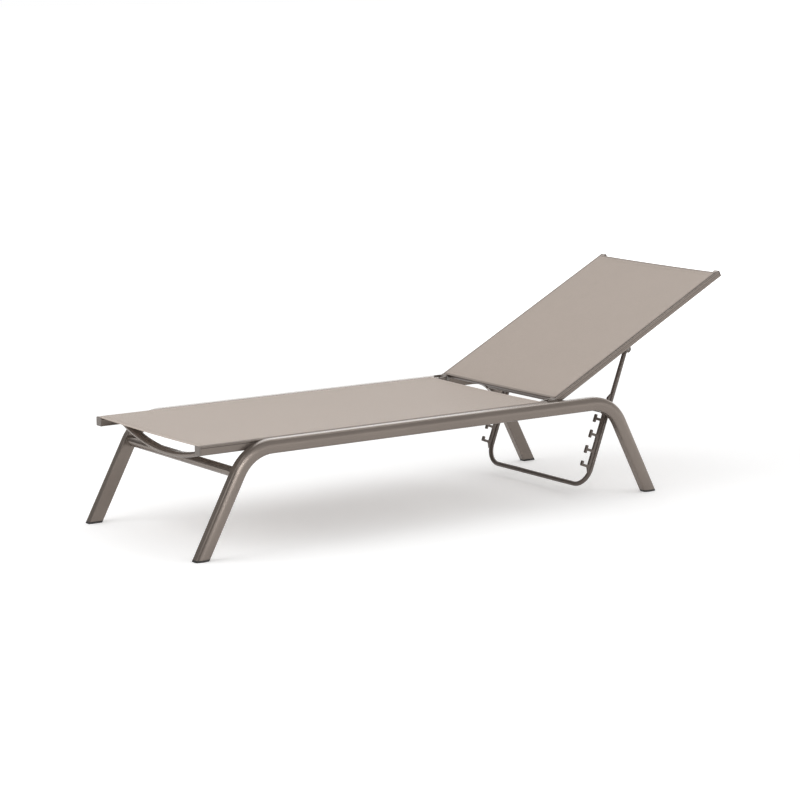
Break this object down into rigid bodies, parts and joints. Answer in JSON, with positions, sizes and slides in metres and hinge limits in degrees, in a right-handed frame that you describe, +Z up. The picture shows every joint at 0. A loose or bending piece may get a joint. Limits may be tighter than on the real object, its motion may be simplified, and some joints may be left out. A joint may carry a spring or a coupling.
{
  "type": "sun lounger",
  "caption": "Low sun lounger with bent tube legs, taut mesh slings on a side-rail frame, and a tilting back held by a toothed U-shaped stay.",
  "frame": {"origin": "on the floor, under the middle of the lounger's length and width with the back raised as in the picture", "axes": "+X from the foot end to the head end, +Y to the right of someone lying on it, +Z up"},
  "size_m": [1.9901, 0.648, 0.6794],
  "materials": {
    "frame_coat": "fine satin powder coat, warm grey-brown, on extruded aluminium",
    "stay_coat": "satin powder coat, warm grey-brown",
    "hinge_casting": "powder coated casting, in the tone of the frame",
    "seat_fabric": "plain woven coated yarn mesh, taupe",
    "back_fabric": "plain woven coated yarn mesh, taupe",
    "glide_plastic": "dark moulded plastic, fine grain",
    "cap_plastic": "moulded plastic in the frame's colour",
    "rod_plastic": "extruded rod",
    "bearing_plastic": "smooth bearing plastic",
    "fastener_steel": "stainless steel, slightly dulled"
  },
  "bodies": {
    "frame": {"leg_frame_left": "frame_coat", "leg_frame_right": "frame_coat", "foot_leg_glide_left": "glide_plastic", "foot_leg_glide_right": "glide_plastic", "head_leg_glide_left": "glide_plastic", "head_leg_glide_right": "glide_plastic", "foot_cross_tube": "frame_coat", "catch_bar": "stay_coat", "catch_bar_plate_left": "stay_coat", "catch_bar_plate_right": "stay_coat", "catch_bar_rivets": "fastener_steel", "seat_rail_left": "frame_coat", "seat_rail_right": "frame_coat", "seat_rail_cap_left": "cap_plastic", "seat_rail_cap_right": "cap_plastic", "rail_screws_left": "fastener_steel", "rail_screws_right": "fastener_steel", "rivet_nuts_left": "fastener_steel", "rivet_nuts_right": "fastener_steel", "seat_spreader_foot": "frame_coat", "seat_spreader_middle": "frame_coat", "seat_spreader_head": "frame_coat", "seat_sling": "seat_fabric", "seat_sling_rod_left": "rod_plastic", "seat_sling_rod_right": "rod_plastic", "hinge_bracket_left": "hinge_casting", "hinge_bracket_right": "hinge_casting", "hinge_rivets": "fastener_steel", "hinge_pin_left": "fastener_steel", "hinge_pin_right": "fastener_steel"},
    "back": {"back_hinge_end_left": "hinge_casting", "back_hinge_end_right": "hinge_casting", "hinge_bushes": "bearing_plastic", "back_rail_left": "frame_coat", "back_rail_right": "frame_coat", "back_rail_cap_left": "cap_plastic", "back_rail_cap_right": "cap_plastic", "back_bottom_bar": "frame_coat", "back_top_bar": "frame_coat", "back_spreader": "frame_coat", "back_sling": "back_fabric", "back_sling_rod_left": "rod_plastic", "back_sling_rod_right": "rod_plastic", "stay_lug_left": "stay_coat", "stay_lug_right": "stay_coat", "lug_rivets": "fastener_steel", "stay_pin_left": "fastener_steel", "stay_pin_right": "fastener_steel", "stay_washers": "bearing_plastic"},
    "stay": {"stay_tube": "stay_coat", "stay_bushes": "bearing_plastic", "stay_rack_left": "stay_coat", "stay_rack_right": "stay_coat"}
  },
  "joints": [
    {"name": "back_tilt", "type": "hinge", "parent": "frame", "child": "back", "pos_m": [0.31689, 0, 0.32], "axis": [0, -1, 0], "range_deg": [-27.5, 42.5]},
    {"name": "stay_swing", "type": "hinge", "parent": "back", "child": "stay", "pos_m": [0.62989, 0, 0.45397], "axis": [0, -1, 0], "range_deg": [-6, 105]}
  ]
}
